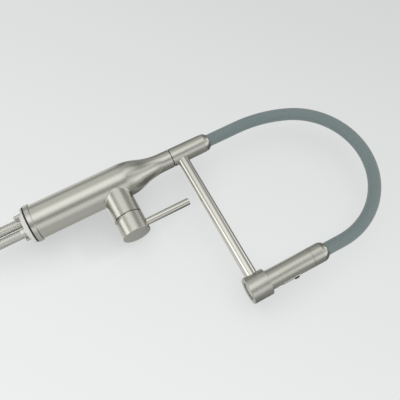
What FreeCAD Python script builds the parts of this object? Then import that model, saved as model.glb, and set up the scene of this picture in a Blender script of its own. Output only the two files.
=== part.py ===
import FreeCAD, Part
import math
import os
import Sketcher

# Deck-mounted kitchen tap: side lever, swivelling arm, docked spray head and an arched silicone spout hose.
# Frame: millimetres, origin on the deck under the column's centre, +Z up, +X towards the lever and the arm.

Vector = FreeCAD.Vector
Rotation = FreeCAD.Rotation

doc = FreeCAD.newDocument("KitchenTap")
sheet = doc.addObject("Spreadsheet::Sheet", "Sizes")

SIZES = {
    # Base under and around the column
    "gasket_thickness": 2.5,
    "gasket_width": 4,
    "gasket_inset": 1,
    "base_ring_diameter": 54,
    "base_ring_height": 6.5,
    "base_plate_thickness": 6,
    "centring_drop": 4,
    "centring_tip_diameter": 37,
    "centring_flange_thickness": 2.8,
    "centring_flange_inset": 1.7,
    "centring_notch_count": 48,
    "centring_notch_diameter": 1.4,
    "centring_notch_height": 1.6,
    "locating_peg_diameter": 6,
    "locating_peg_drop": 6.5,
    "locating_peg_bearing": 134,
    "stud_circle_diameter": 35,
    "stud_diameter": 6,
    "stud_root_diameter": 7,
    "stud_drop": 11,
    "stud_bearing": 52,
    # Column, shoulder and neck
    "body_diameter": 50,
    "body_wall": 2.2,
    "shoulder_start": 138,
    "neck_length": 13,
    "neck_diameter": 26.8,
    "neck_wall": 3,
    "spigot_seat_depth": 20,
    # Handle housing and the valve block in the column
    "handle_height": 125,
    "housing_diameter": 40,
    "housing_face": 53.5,
    "housing_fillet": 2,
    "valve_wall": 2.6,
    "inlet_height": 98,
    "inlet_boss_diameter": 29,
    "outlet_bore": 10,
    "port_bore": 5.2,
    "inlet_port_drop": 4,
    "outlet_port_rise": 6,
    "port_spread": 3.2,
    # Cartridge, placed along the handle's axis from the column's axis
    "cartridge_floor": 14,
    "cartridge_diameter": 28,
    "cartridge_wall": 1.5,
    "cartridge_base": 3.5,
    "cartridge_lip": 2,
    "cartridge_neck_diameter": 22,
    "cartridge_neck_wall": 1.7,
    "cartridge_neck_stand": 1,
    "port_seal_stand": 0.3,
    "port_seal_section": 0.4,
    "disc_diameter": 17,
    "disc_thickness": 3.5,
    "mixing_diameter": 10,
    "mixing_depth": 2,
    "nut_seat": 40,
    "nut_thickness": 6,
    "nut_thread_diameter": 34,
    "nut_slot_width": 4,
    "nut_slot_depth": 2.5,
    "nut_slot_reach": 3,
    # Spindle, its carrier and the dome over them
    "pivot_depth": 10,
    "flow_angle": 18,
    "carrier_gap": 1,
    "carrier_stand": 1.5,
    "carrier_slot_length": 14,
    "spindle_reach": 12,
    "spindle_arm_diameter": 4.4,
    "spindle_boss_diameter": 8,
    "spindle_square": 7,
    "ball_diameter": 5.6,
    "ball_cover": 1.5,
    "pin_diameter": 3,
    "dome_radius": 20,
    "dome_wall": 1.2,
    "dome_opening": 23,
    # Handle cap and lever
    "cap_diameter": 40,
    "cap_gap": 1.3,
    "cap_length": 27.4,
    "cap_cavity_diameter": 35,
    "lever_diameter": 10,
    "lever_station": 71.5,
    "lever_tip_drop": 14.1,
    "lever_seat": 13,
    "set_screw_diameter": 4,
    "set_screw_reach": 16,
    "set_screw_key": 2.2,
    # Swivel joint and collar
    "glide_thickness": 0.8,
    "glide_inset": 1.6,
    "collar_diameter": 26.8,
    "collar_bore": 17.6,
    "collar_drop": 14.9,
    "collar_rise": 46.6,
    "dome_corner": 12,
    "spigot_bore": 9,
    "spigot_depth": 17.5,
    "seal_section": 1.7,
    "first_seal_rise": 27,
    "seal_pitch": 7.5,
    "keeper_rise": 6,
    "keeper_diameter": 4,
    "keeper_groove_depth": 1.2,
    # Arm and holder ring
    "arm_height": 231.6,
    "arm_diameter": 17,
    "arm_wall": 1.5,
    "arm_stud_diameter": 8,
    "arm_plug_length": 15,
    "reach": 219.5,
    "holder_diameter": 36,
    "holder_height": 28.2,
    "holder_bore": 31,
    "holder_lip": 2,
    "holder_screw_diameter": 5,
    "holder_screw_head": 8,
    "holder_screw_length": 14,
    "liner_lip": 1.2,
    # Spout hose and its ends
    "hose_diameter": 18,
    "hose_bore": 12,
    "inner_hose_diameter": 11.4,
    "inner_hose_bore": 8.4,
    "hose_straight": 47.8,
    "hose_entry_radius": 200,
    "hose_crown_inset": 3.75,
    "hose_socket": 12,
    "nipple_bore": 5,
    "nipple_flange": 3,
    "barb_count": 3,
    "barb_pitch": 3,
    "barb_depth": 0.6,
    # Spray head
    "head_diameter": 26.9,
    "head_wall": 1.5,
    "head_bottom_gap": 0.6,
    "head_seam_rise": 80.9,
    "head_cap_length": 24,
    "head_swivel_diameter": 13.2,
    "head_swivel_length": 22,
    "head_swivel_shoulder": 6,
    "o_ring_section": 1.8,
    "o_ring_depth": 10,
    "retainer_depth": 4.5,
    "retainer_thickness": 1.4,
    "retainer_height": 3.3,
    "check_valve_diameter": 7.8,
    "check_valve_length": 6.4,
    "check_valve_nose_diameter": 4.7,
    "face_thickness": 3,
    "face_mat_thickness": 1.5,
    "face_seal_width": 2,
    "aerator_diameter": 12,
    "aerator_height": 8,
    "nozzle_count": 18,
    "nozzle_circle_diameter": 18.4,
    "nozzle_diameter": 1.4,
    "nozzle_stand": 0.5,
    "spray_passage_offset": 6,
    "spray_passage_diameter": 4.4,
    "thumb_pad_drop": 50.5,
    "thumb_pad_length": 26,
    "thumb_pad_rise": 0.8,
    "thumb_pad_width": 11,
    "thumb_pad_land": 3,
    "thumb_pad_round": 0.6,
    "button_drop": 29.5,
    "button_diameter": 7,
    "button_stand": 1.1,
    "button_travel": 1.2,
    "button_well": 3.5,
    "plunger_diameter": 5,
    # Supply hoses
    "supply_diameter": 12.8,
    "supply_bore": 8,
    "supply_spread_x": 7,
    "supply_spread_y": 1.8,
    "supply_ferrule_length": 22,
    "supply_ferrule_stand": 0.5,
    "tail_diameter": 10,
    "tail_bore": 5,
    "tail_shoulder_diameter": 12,
    "tail_shoulder_length": 8,
    "tail_insert_length": 9.5,
    "union_flats": 19,
    "union_length": 16,
    "union_bore": 16.6,
    "union_bore_length": 12,
    # Edges and clearances
    "soft_edge": 0.8,
    "small_edge": 0.6,
    "running_gap": 0.1,
    "thread_gap": 0.1,
    "fit_gap": 0.2,
    "free_gap": 0.35,
}

# Hand-chosen route of a supply hose under the deck, as offsets from its hole, straight where it leaves the tap
SUPPLY_ROUTE = [(0, 0, -4), (0, 0, -95), (8, 5, -190), (18, 8, -285), (18, 8, -365)]

# Distance across a hexagon's corners for each unit across its flats
CORNERS_PER_FLATS = 2 / math.sqrt(3)
# How far a cutting tool runs past the face that it enters
OVERCUT = 1
# Share of the shorter run that an arc of a cord's tube takes at each end
ARC_SHARE = 0.45

for row, (alias, number) in enumerate(SIZES.items(), start=1):
    sheet.set(f"A{row}", alias)
    sheet.set(f"B{row}", str(number))
    sheet.setAlias(f"B{row}", alias)
doc.recompute()


class Length:
    """A size that carries its number and the formula that binds it to the sheet."""

    def __init__(self, number, formula):
        self.number = number
        self.formula = formula

    def __add__(self, other):
        return Length(self.number + number_of(other), f"({self.formula} + {formula_of(other)})")

    def __sub__(self, other):
        return Length(self.number - number_of(other), f"({self.formula} - {formula_of(other)})")

    def __mul__(self, other):
        return Length(self.number * number_of(other), f"({self.formula} * {formula_of(other)})")

    def __truediv__(self, other):
        return Length(self.number / number_of(other), f"({self.formula} / {formula_of(other)})")

    def __neg__(self):
        return Length(-self.number, f"(-1 * {self.formula})")

    def __rsub__(self, other):
        return Length(number_of(other) - self.number, f"({formula_of(other)} - {self.formula})")

    __radd__ = __add__
    __rmul__ = __mul__


def number_of(value):
    return value.number if isinstance(value, Length) else float(value)


def formula_of(value):
    return value.formula if isinstance(value, Length) else f"({float(value)})"


def root(value):
    return Length(math.sqrt(value.number), f"sqrt({value.formula})")


def sine(angle):
    return Length(math.sin(math.radians(angle.number)), f"sin({angle.formula})")


def cosine(angle):
    return Length(math.cos(math.radians(angle.number)), f"cos({angle.formula})")


def tangent(angle):
    return sine(angle) / cosine(angle)


def leg(hypotenuse, other):
    """The third side of a right-angled triangle."""
    return root(hypotenuse * hypotenuse - other * other)


class Sheet:
    """Reads a named size from the sheet."""

    def __getattr__(self, alias):
        return Length(float(sheet.get(alias)), f"Sizes.{alias}")


dim = Sheet()
nodes = []

TURNS = {
    "z": Rotation(),
    "x": Rotation(Vector(0, 1, 0), 90),
    "y": Rotation(Vector(1, 0, 0), -90),
    "-x": Rotation(Vector(0, 1, 0), -90),
    "-z": Rotation(Vector(1, 0, 0), 180),
}


def bind(thing, name, value):
    """Ties one property to the sheet; a bare number is set as it is."""
    if isinstance(value, Length):
        thing.setExpression(name, value.formula)
    elif "." not in name and "[" not in name:
        setattr(thing, name, value)


def place(thing, x, y, z, along):
    base = Vector(number_of(x), number_of(y), number_of(z))
    thing.Placement = FreeCAD.Placement(base, TURNS[along])
    for name, value in (("x", x), ("y", y), ("z", z)):
        bind(thing, f"Placement.Base.{name}", value)


def node(thing, label):
    """Names a finished sub-part, which is written to its own file."""
    thing.Label = label
    nodes.append(thing)
    return thing


def new_body(label):
    body = doc.addObject("PartDesign::Body", "body_" + label)
    body.Label = label
    return body


def new_sketch(body, name, plane, lift=0):
    """An empty sketch on one of the body's own planes, lifted along the plane's normal."""
    sketch = body.newObject("Sketcher::SketchObject", name)
    sketch.AttachmentSupport = [([f for f in body.Origin.OriginFeatures if f.Role == plane][0], "")]
    sketch.MapMode = "FlatFace"
    sketch.AttachmentOffset = FreeCAD.Placement(Vector(0, 0, number_of(lift)), Rotation())
    bind(sketch, "AttachmentOffset.Base.z", lift)
    return sketch


def constrain(sketch, kind, value, *where):
    index = sketch.addConstraint(Sketcher.Constraint(kind, *where, number_of(value)))
    bind(sketch, f"Constraints[{index}]", value)


def draw(sketch, points, closed=True):
    """Draws lines and arcs through points. A point is (x, y), or (x, y, radius, side) where an arc
    leads to the next point and its centre lies on that side of the way there."""
    count = len(points)
    ends = []
    for i in range(count if closed else count - 1):
        a, b = points[i], points[(i + 1) % count]
        start = Vector(number_of(a[0]), number_of(a[1]), 0)
        end = Vector(number_of(b[0]), number_of(b[1]), 0)
        if len(a) == 2:
            sketch.addGeometry(Part.LineSegment(start, end), False)
            ends.append((1, 2))
            continue
        radius, left = number_of(a[2]), a[3] == "left"
        chord = end - start
        normal = Vector(-chord.y, chord.x, 0).normalize() * (1 if left else -1)
        centre = (start + end) / 2 + normal * math.sqrt(radius ** 2 - chord.Length ** 2 / 4)
        first, last = (start, end) if left else (end, start)
        angles = [math.atan2(p.y - centre.y, p.x - centre.x) for p in (first, last)]
        if angles[1] < angles[0]:
            angles[1] += 2 * math.pi
        sketch.addGeometry(Part.ArcOfCircle(Part.Circle(centre, Vector(0, 0, 1), radius), *angles), False)
        ends.append((1, 2) if left else (2, 1))
    for i in range(len(ends) if closed else len(ends) - 1):
        after = (i + 1) % len(ends)
        sketch.addConstraint(Sketcher.Constraint("Coincident", i, ends[i][1], after, ends[after][0]))
    for i, point in enumerate(points):
        edge, end = (i, ends[i][0]) if i < len(ends) else (i - 1, ends[i - 1][1])
        constrain(sketch, "DistanceX", point[0], -1, 1, edge, end)
        constrain(sketch, "DistanceY", point[1], -1, 1, edge, end)
        if len(point) > 2:
            constrain(sketch, "Radius", point[2], edge)
    return sketch


def draw_circles(sketch, centres, radius):
    for x, y in centres:
        centre = Vector(number_of(x), number_of(y), 0)
        circle = sketch.addGeometry(Part.Circle(centre, Vector(0, 0, 1), number_of(radius)), False)
        constrain(sketch, "DistanceX", x, -1, 1, circle, 3)
        constrain(sketch, "DistanceY", y, -1, 1, circle, 3)
        constrain(sketch, "Radius", radius, circle)
    return sketch


def revolve(body, name, points):
    """Turns an outline of (radius, height) points about the body's own z axis."""
    turn = body.newObject("PartDesign::Revolution", name)
    turn.Profile = draw(new_sketch(body, name + "_outline", "XZ_Plane"), points)
    turn.ReferenceAxis = (turn.Profile[0], ["V_Axis"])
    turn.Angle = 360
    return turn


def turned(label, points, x=0, y=0, z=0, along="z"):
    """A sub-part of round section."""
    body = new_body(label)
    revolve(body, label + "_turned", points)
    place(body, x, y, z, along)
    return body


def tube(inner, outer, bottom, top):
    """Outline of a plain sleeve."""
    return [(inner, bottom), (outer, bottom), (outer, top), (inner, top)]


def pocket(body, name, sketch, depth=None, onward=False, both=False):
    """Cuts against the sketch's normal, or along it when onward."""
    cut = body.newObject("PartDesign::Pocket", name)
    cut.Profile = sketch
    cut.Reversed = onward
    cut.Midplane = both
    if depth is None:
        cut.Type = "ThroughAll"
    else:
        bind(cut, "Length", depth)
    return cut


def drill(body, name, centres, radius, start=0, depth=None, onward=False, plane="XY_Plane"):
    return pocket(body, name, draw_circles(new_sketch(body, name + "_circles", plane, start), centres, radius),
                  depth, onward)


def pad(body, name, sketch, length, both=False):
    block = body.newObject("PartDesign::Pad", name)
    block.Profile = sketch
    block.Midplane = both
    bind(block, "Length", length)
    return block


def solid(kind, name, x=0, y=0, z=0, along="z", **sizes):
    """A primitive with its sizes tied to the sheet."""
    thing = doc.addObject("Part::" + kind, name)
    for key, value in sizes.items():
        bind(thing, key, value)
    place(thing, x, y, z, along)
    return thing


def fused(name, pieces):
    whole = doc.addObject("Part::MultiFuse", name)
    whole.Shapes = pieces
    return whole


def less(name, base, tool):
    rest = doc.addObject("Part::Cut", name)
    rest.Base = base
    rest.Tool = tool
    return rest


def group(label, pieces):
    """Identical pieces that share one file and stay separate solids."""
    together = doc.addObject("Part::Compound", "group_" + label)
    together.Links = pieces
    return node(together, label)


def common(name, pieces):
    shared = doc.addObject("Part::MultiCommon", name)
    shared.Shapes = pieces
    return shared


def rod(name, x, y, z, along, radius, length):
    return solid("Cylinder", name, x, y, z, along, Radius=radius, Height=length)


def body_axis(body):
    return ([f for f in body.Origin.OriginFeatures if f.Role == "Z_Axis"][0], [""])


def repeat(body, feature, count):
    """Repeats a feature evenly round the body's z axis."""
    ring = body.newObject("PartDesign::PolarPattern", feature.Name + "_ring")
    ring.Originals = [feature]
    ring.Axis = body_axis(body)
    ring.Angle = 360
    if isinstance(count, Length):
        bind(ring, "Occurrences", count)
    else:
        ring.Occurrences = count
    body.Tip = ring


def soften(body, name, radius, wanted):
    """Rounds the body's edges that the given test picks."""
    doc.recompute()
    base = body.Tip
    picked = [f"Edge{i}" for i, edge in enumerate(base.Shape.Edges, start=1) if wanted(edge)]
    fillet = body.newObject("PartDesign::Fillet", name)
    fillet.Base = (base, picked)
    bind(fillet, "Radius", radius)
    return fillet


# Sizes that several sub-parts share
deck = dim.centring_flange_thickness + dim.gasket_thickness
neck_top = dim.arm_height - dim.collar_drop
neck_start = neck_top - dim.neck_length
lever_tip = dim.arm_height - dim.arm_diameter / 2 - dim.lever_tip_drop
collar_top = dim.arm_height + dim.collar_rise
spigot_top = collar_top - dim.spigot_depth
hose_rise = collar_top + dim.hose_straight
seam = dim.arm_height + dim.head_seam_rise
head_top = seam + dim.head_cap_length
thumb_pad_start = seam - dim.thumb_pad_drop
thumb_pad_end = thumb_pad_start + dim.thumb_pad_length
button_height = seam - dim.button_drop
body_r = dim.body_diameter / 2
neck_r = dim.neck_diameter / 2
cavity_r = body_r - dim.body_wall
ring_r = dim.base_ring_diameter / 2
plate_top = deck + dim.base_plate_thickness
gasket_r = ring_r - dim.gasket_inset
gasket_bore = gasket_r - dim.gasket_width
stud_r = dim.stud_diameter / 2
stud_root_r = dim.stud_root_diameter / 2
stud_circle_r = dim.stud_circle_diameter / 2
stud_holes = [(stud_circle_r * cosine(dim.stud_bearing + turn), stud_circle_r * sine(dim.stud_bearing + turn))
              for turn in (0, 180)]
peg_r = dim.locating_peg_diameter / 2
peg_circle_r = dim.centring_tip_diameter / 2 - peg_r - dim.soft_edge
locating_pegs = [(peg_circle_r * cosine(dim.locating_peg_bearing + turn),
                  peg_circle_r * sine(dim.locating_peg_bearing + turn)) for turn in (0, 180)]
supply_r = dim.supply_diameter / 2
supply_holes = [(dim.supply_spread_x, dim.supply_spread_y), (-dim.supply_spread_x, -dim.supply_spread_y)]
supply_split = -dim.centring_drop / 2
tail_end = dim.inlet_height - dim.tail_shoulder_length
crimp_end = tail_end - dim.supply_ferrule_length

spigot_seat_r = neck_r - dim.neck_wall
spigot_foot = neck_top - dim.spigot_seat_depth
spigot_r = dim.collar_bore / 2 - dim.running_gap
collar_r = dim.collar_diameter / 2
collar_bottom = neck_top + dim.glide_thickness + dim.free_gap
keeper_height = neck_top + dim.keeper_rise
keeper_r = dim.keeper_diameter / 2

hose_r = dim.hose_diameter / 2
hose_hole = hose_r + dim.free_gap
hose_start = collar_top - dim.hose_socket
hose_end = head_top - dim.hose_socket
barb_r = dim.inner_hose_bore / 2 - dim.running_gap
nipple_bore_r = dim.nipple_bore / 2

holder_r = dim.holder_diameter / 2
holder_bore_r = dim.holder_bore / 2
holder_base = dim.arm_height - dim.holder_height / 2
holder_top = dim.arm_height + dim.holder_height / 2
head_r = dim.head_diameter / 2
head_bore_r = head_r - dim.head_wall
head_bottom = holder_base + dim.liner_lip + dim.head_bottom_gap
holder_opening = head_r + dim.free_gap
shell_top = seam - dim.free_gap
head_neck_r = dim.head_swivel_diameter / 2

# Places along the handle's axis, from the column's axis
cartridge_r = dim.cartridge_diameter / 2
cartridge_bore_r = cartridge_r + dim.running_gap
cartridge_neck_r = dim.cartridge_neck_diameter / 2
cartridge_foot = dim.cartridge_floor + dim.port_seal_stand
chamber_r = cartridge_r - dim.cartridge_wall
chamber_start = cartridge_foot + dim.cartridge_base
chamber_end = dim.nut_seat - dim.cartridge_lip
nut_top = dim.nut_seat + dim.nut_thickness
port_r = dim.port_bore / 2
pivot_x = dim.housing_face - dim.pivot_depth
pin_r = dim.pin_diameter / 2
ball_x = pivot_x - dim.spindle_reach
ball_r = dim.ball_diameter / 2
disc_r = dim.disc_diameter / 2
fixed_start = chamber_start + dim.fit_gap
moving_start = fixed_start + dim.disc_thickness + dim.running_gap
driver_start = moving_start + dim.disc_thickness
driver_end = ball_x + dim.ball_cover
cap_rear = dim.housing_face + dim.cap_gap
lever_r = dim.lever_diameter / 2
spindle_tip = dim.lever_station + lever_r + dim.free_gap


def base():
    """Base ring, deck gasket, stud plate, centring collar and fixing studs."""
    ring_top = deck + dim.base_ring_height
    edge = dim.soft_edge
    node(turned("base_ring", [
        (body_r + dim.running_gap, deck), (ring_r, deck),
        (ring_r, ring_top - edge, edge, "left"), (ring_r - edge, ring_top),
        (body_r + dim.running_gap, ring_top),
    ]), "base_ring")
    flange = dim.centring_flange_thickness
    node(turned("deck_gasket", tube(gasket_bore, gasket_r, flange, deck)), "deck_gasket")

    plate = turned("stud_plate", disc(cavity_r - dim.running_gap, deck, plate_top))
    drill_base_holes(plate, deck)
    node(plate, "stud_plate")

    rim = gasket_bore - dim.fit_gap
    flange_r = ring_r - dim.centring_flange_inset
    collar = turned("centring_collar", [
        (0, -dim.centring_drop), (dim.centring_tip_diameter / 2, -dim.centring_drop), (rim, 0), (flange_r, 0),
        (flange_r, flange), (rim, flange), (rim, deck), (0, deck),
    ])
    foot = -(dim.centring_drop + dim.locating_peg_drop)
    pegs = draw_circles(new_sketch(collar, "peg_circles", "XY_Plane", foot), locating_pegs, peg_r)
    pad(collar, "locating_pegs", pegs, -foot)
    drill_base_holes(collar, -dim.centring_drop)
    doc.recompute()
    notch = drill(collar, "rim_notch", [(flange_r, 0)], dim.centring_notch_diameter / 2, 0,
                  dim.centring_notch_height, onward=True)
    repeat(collar, notch, dim.centring_notch_count)
    node(collar, "centring_collar")

    tip = dim.small_edge
    group("fixing_studs", [
        turned(f"fixing_stud_{i}", [
            (0, -dim.stud_drop), (stud_r - tip, -dim.stud_drop), (stud_r, -dim.stud_drop + tip),
            (stud_r, -dim.centring_drop), (stud_root_r, -dim.centring_drop), (stud_root_r, plate_top),
            (0, plate_top),
        ], x, y) for i, (x, y) in enumerate(stud_holes, start=1)])


def disc(radius, bottom, top):
    """Outline of a plain disc."""
    return [(0, bottom), (radius, bottom), (radius, top), (0, top)]


def drill_base_holes(body, bottom):
    """The holes for the supply hoses and the fixing studs."""
    drill(body, body.Label + "_hose_holes", supply_holes, supply_r + dim.fit_gap, bottom, onward=True)
    drill(body, body.Label + "_stud_holes", stud_holes, stud_root_r + dim.thread_gap, bottom, onward=True)


def shoulder_outline(foot_r, top_r, bottom, top):
    """Half section of a column that narrows to its neck in an S of two equal arcs."""
    drop = foot_r - top_r
    rise = neck_start - dim.shoulder_start
    ogee = (drop * drop + rise * rise) / (drop * 4)
    return [
        (0, bottom), (foot_r, bottom),
        (foot_r, dim.shoulder_start, ogee, "left"),
        ((foot_r + top_r) / 2, (dim.shoulder_start + neck_start) / 2, ogee, "right"),
        (top_r, neck_start), (top_r, top), (0, top),
    ]


def column():
    """The column, its ogee shoulder and neck, and the handle housing, as one hollow shell."""
    body = new_body("column_body")
    revolve(body, "column", shoulder_outline(body_r, neck_r, deck, neck_top))
    housing = draw_circles(new_sketch(body, "housing_circle", "YZ_Plane"), [(0, dim.handle_height)],
                           dim.housing_diameter / 2)
    pad(body, "housing", housing, dim.housing_face)
    soften(body, "housing_root", dim.housing_fillet, housing_root_edge)

    hollow = body.newObject("PartDesign::Groove", "hollow")
    hollow.Profile = draw(new_sketch(body, "hollow_outline", "XZ_Plane"),
                          shoulder_outline(cavity_r, spigot_seat_r, deck, neck_top))
    hollow.ReferenceAxis = (hollow.Profile[0], ["V_Axis"])
    hollow.Angle = 360
    axis = [(0, dim.handle_height)]
    face = dim.housing_face
    drill(body, "nut_bore", axis, dim.nut_thread_diameter / 2, face, face - dim.nut_seat, plane="YZ_Plane")
    drill(body, "cartridge_bore", axis, cartridge_bore_r, face, face, plane="YZ_Plane")
    node(body, "column_body")


def housing_root_edge(edge):
    """The curve where the handle housing leaves the column."""
    box = edge.BoundBox
    radius = number_of(dim.housing_diameter) / 2
    between = box.XMin > 0 and box.XMax < number_of(dim.housing_face) - number_of(dim.housing_fillet)
    return between and box.ZLength > radius and box.YLength > radius


def valve_block():
    """The block behind the cartridge: it fits the column's bore and holds the waterways."""
    height = dim.handle_height
    foot = dim.inlet_height
    low, high = height - dim.inlet_port_drop, height + dim.outlet_port_rise
    fit_r = cavity_r - dim.fit_gap
    riser_r = dim.outlet_bore / 2
    blank = fused("valve_blank", [
        common("valve_round", [
            rod("valve_across", -body_r, 0, height, "x", cartridge_bore_r + dim.valve_wall, body_r * 2),
            rod("valve_upright", 0, 0, foot, "z", fit_r, spigot_foot - foot)]),
        rod("inlet_boss", 0, 0, foot, "z", dim.inlet_boss_diameter / 2, low - foot),
        rod("riser_wall", 0, 0, high, "z", riser_r + dim.valve_wall, spigot_foot - high),
    ])
    floor = dim.cartridge_floor
    waterways = [
        rod("cartridge_seat", floor, 0, height, "x", cartridge_bore_r, fit_r),
        rod("mixed_port", -port_r, 0, high, "x", port_r, floor + port_r * 2),
        rod("mixed_riser", 0, 0, high, "z", riser_r, spigot_foot - high + OVERCUT),
    ]
    for name, (x, y), side in zip(("cold", "hot"), supply_holes, (dim.port_spread, -dim.port_spread)):
        waterways += [
            rod(name + "_tail_bore", x, y, foot - OVERCUT, "z", dim.tail_diameter / 2 + dim.thread_gap,
                dim.tail_insert_length + dim.free_gap + OVERCUT),
            rod(name + "_riser", x, y, foot, "z", port_r, low - foot),
            rod(name + "_port", x, side, low, "x", port_r, floor - x + port_r),
        ]
    node(less("valve_cut", blank, fused("valve_waterways", waterways)), "valve_body")


def supply_side():
    """Hose tails, crimp sleeves, the hoses inside the column and the free hoses under the deck."""
    bore = dim.tail_bore / 2
    shoulder = dim.tail_shoulder_diameter / 2
    insert = dim.tail_diameter / 2
    insert_end = dim.inlet_height + dim.tail_insert_length
    group("inlet_tails", [
        turned(f"inlet_tail_{i}", [
            (bore, tail_end), (shoulder, tail_end), (shoulder, dim.inlet_height), (insert, dim.inlet_height),
            (insert, insert_end), (bore, insert_end),
        ], x, y) for i, (x, y) in enumerate(supply_holes, start=1)])
    group("inlet_sleeves", [
        turned(f"inlet_sleeve_{i}", tube(bore, supply_r + dim.fit_gap, crimp_end, tail_end), x, y)
        for i, (x, y) in enumerate(supply_holes, start=1)])
    group("supply_hose_roots", [
        turned(f"supply_root_{i}", tube(dim.supply_bore / 2, supply_r, supply_split, crimp_end), x, y)
        for i, (x, y) in enumerate(supply_holes, start=1)])

    ends = []
    for name, (x, y), side in zip(("cold", "hot"), supply_holes, (1, -1)):
        route = [Vector(x.number + side * dx, number_of(y) + side * dy, z) for dx, dy, z in SUPPLY_ROUTE]
        route[0].z = supply_split.number
        hose = doc.addObject("Part::Feature", "supply_" + name)
        hose.Shape = cord_tube(name + " supply hose", route, dim.supply_diameter.number)
        node(hose, "supply_hose_" + name)
        ends.append(route[-1])
    sleeve_r = supply_r + dim.supply_ferrule_stand
    group("outlet_sleeves", [
        turned(f"outlet_sleeve_{i}", tube(bore, sleeve_r, -dim.supply_ferrule_length, 0), end.x, end.y, end.z)
        for i, end in enumerate(ends, start=1)])
    group("union_nuts", [union_nut(i, end) for i, end in enumerate(ends, start=1)])


def union_nut(i, end):
    """A swivelling hexagon nut at the lower end of a supply hose."""
    top = end.z - dim.supply_ferrule_length
    foot = top - dim.union_length
    hexagon = solid("Prism", f"union_hexagon_{i}", end.x, end.y, foot, Polygon=6,
                    Circumradius=dim.union_flats / 2 * CORNERS_PER_FLATS, Height=dim.union_length)
    bore = rod(f"union_bore_{i}", end.x, end.y, foot, "z", dim.union_bore / 2, dim.union_bore_length)
    throat = rod(f"union_throat_{i}", end.x, end.y, foot, "z", dim.tail_bore / 2, dim.union_length)
    return less(f"union_nut_{i}", hexagon, fused(f"union_hollow_{i}", [bore, throat]))


def cord_tube(name, points, diameter):
    """A solid of straight runs joined by tangent arcs; prints its radii and its length."""
    edges, radii = [], []
    last = points[0]
    for before, corner, after in zip(points, points[1:], points[2:]):
        back, forth = (before - corner), (after - corner)
        half_turn = (math.pi - back.getAngle(forth)) / 2
        radius = ARC_SHARE * min(back.Length, forth.Length) / math.tan(half_turn)
        radii.append(radius)
        reach = radius * math.tan(half_turn)
        enter = corner + back.normalize() * reach
        leave = corner + forth.normalize() * reach
        bisector = (back + forth).normalize()
        middle = corner + bisector * (radius / math.cos(half_turn) - radius)
        edges.append(Part.LineSegment(last, enter).toShape())
        edges.append(Part.Arc(enter, middle, leave).toShape())
        last = leave
    edges.append(Part.LineSegment(last, points[-1]).toShape())
    wire = Part.Wire(edges)
    heading = points[1] - points[0]
    section = Part.Wire(Part.makeCircle(diameter / 2, points[0], heading))
    pipe = wire.makePipeShell([section], True, True)
    area = math.pi * diameter ** 2 / 4
    print(f"{name}: radii {[round(r) for r in radii]}, length {wire.Length:.1f}, "
          f"volume ratio {pipe.Volume / (area * wire.Length):.5f}")
    return pipe


def cartridge():
    """Mixing cartridge: shell, port seals, the two discs and the disc's driver."""
    height = dim.handle_height
    # Seen along the handle's axis, local x points down and local y across
    ports = [(dim.inlet_port_drop, dim.port_spread), (dim.inlet_port_drop, -dim.port_spread),
             (-dim.outlet_port_rise, 0)]
    neck = cartridge_neck_r
    neck_bore = neck - dim.cartridge_neck_wall
    mouth = nut_top + dim.cartridge_neck_stand
    shell = turned("cartridge_body", [
        (0, cartridge_foot), (cartridge_r, cartridge_foot), (cartridge_r, dim.nut_seat), (neck, dim.nut_seat),
        (neck, mouth), (neck_bore, mouth), (neck_bore, chamber_end), (chamber_r, chamber_end),
        (chamber_r, chamber_start), (0, chamber_start),
    ], z=height, along="x")
    drill(shell, "cartridge_ports", ports, port_r, cartridge_foot, dim.cartridge_base, onward=True)
    node(shell, "cartridge_body")

    seal = port_r + dim.running_gap
    seal_outer = seal + dim.port_seal_section
    group("port_seals", [
        turned(f"port_seal_{i}", tube(seal, seal_outer, dim.cartridge_floor, cartridge_foot),
               0, y, height - x, "x") for i, (x, y) in enumerate(ports, start=1)])

    fixed = turned("fixed_disc", disc(chamber_r - dim.fit_gap, fixed_start, fixed_start + dim.disc_thickness),
                   z=height, along="x")
    drill(fixed, "fixed_disc_ports", ports, port_r, fixed_start, onward=True)
    node(fixed, "fixed_disc")

    moving = turned("moving_disc", disc(disc_r, moving_start, driver_start), z=height, along="x")
    mixing_r = dim.mixing_diameter / 2
    drill(moving, "mixing_hollow", [(0, 0)], mixing_r, moving_start, dim.mixing_depth, onward=True)
    node(moving, "moving_disc")

    driver = turned("disc_driver", disc(disc_r, driver_start, driver_end), z=height, along="x")
    drill(driver, "ball_socket", [(0, 0)], ball_r + dim.running_gap, driver_end, ball_r + dim.ball_cover)
    node(driver, "disc_driver")


def cartridge_nut():
    """The ring nut that holds the cartridge in its seat."""
    neck = cartridge_neck_r
    nut = turned("cartridge_nut", tube(neck + dim.fit_gap, dim.nut_thread_diameter / 2 - dim.thread_gap,
                                       dim.nut_seat, nut_top), z=dim.handle_height, along="x")
    half = dim.nut_slot_width / 2
    reach = neck + dim.nut_slot_reach
    outline = draw(new_sketch(nut, "nut_slot_outline", "XY_Plane", nut_top), [
        (0, -half), (reach, -half), (reach, half), (0, half)])
    repeat(nut, pocket(nut, "nut_slot", outline, dim.nut_slot_depth), 4)
    node(nut, "cartridge_nut")


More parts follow.
